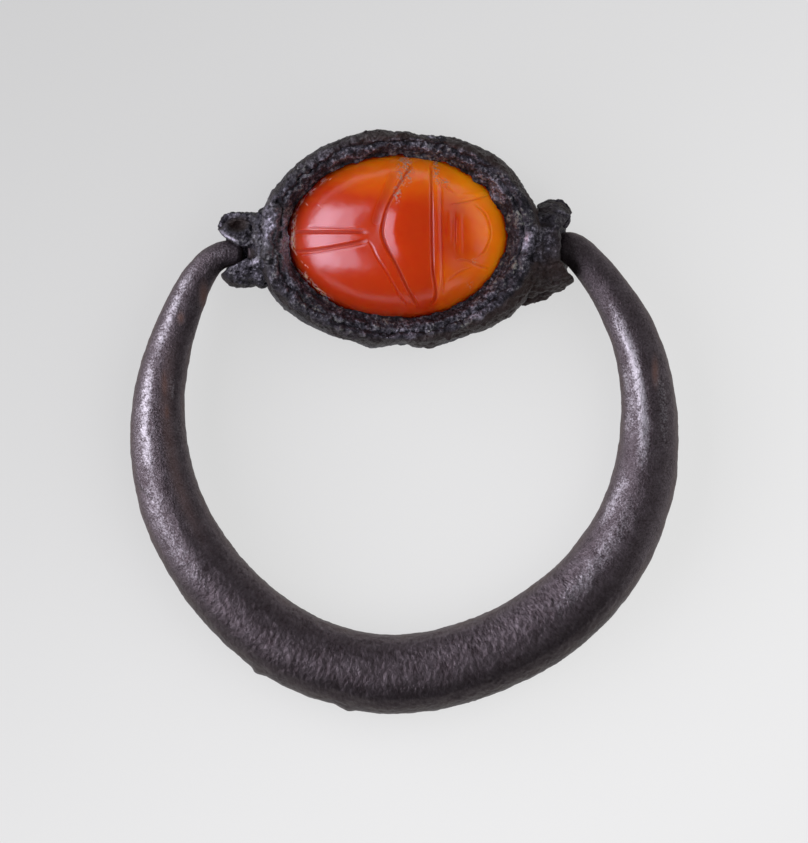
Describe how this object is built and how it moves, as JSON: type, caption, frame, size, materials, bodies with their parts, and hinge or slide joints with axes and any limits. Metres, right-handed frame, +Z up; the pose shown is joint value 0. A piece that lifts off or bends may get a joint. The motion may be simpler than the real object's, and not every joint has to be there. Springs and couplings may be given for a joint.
{
  "type": "scarab swivel ring",
  "caption": "Crescent hoop tapering to two pivots, on which an oval setting turns, holding a carnelian beetle seal with a flat base.",
  "frame": {"origin": "under the middle of the ring's box, on the surface that the ring lies on", "axes": "+X along the swivel axis, to the beetle's head; +Y from the hoop's foot to the setting; +Z up, out of the beetle's back"},
  "size_m": [0.028, 0.0298, 0.0073],
  "materials": {
    "carnelian": "polished, translucent orange-red",
    "bedding_paste": "dull earthy paste",
    "crusted_silver": "grainy black corroded silver",
    "worn_silver": "tarnished dark silver, rubbed on the hoop"
  },
  "bodies": {
    "bezel": {"scarab": "carnelian", "bedding_paste": "bedding_paste", "setting_collar": "crusted_silver", "back_lip": "crusted_silver", "outer_frame": "crusted_silver", "stone_wire": "worn_silver", "left_cup": "crusted_silver", "right_cup": "crusted_silver"},
    "hoop": {"hoop": "worn_silver"}
  },
  "joints": [
    {"name": "hoop_swivel", "type": "hinge", "parent": "bezel", "child": "hoop", "pos_m": [-0.00007, 0.00885, 0.00266], "axis": [-1, 0, 0], "continuous": true}
  ]
}
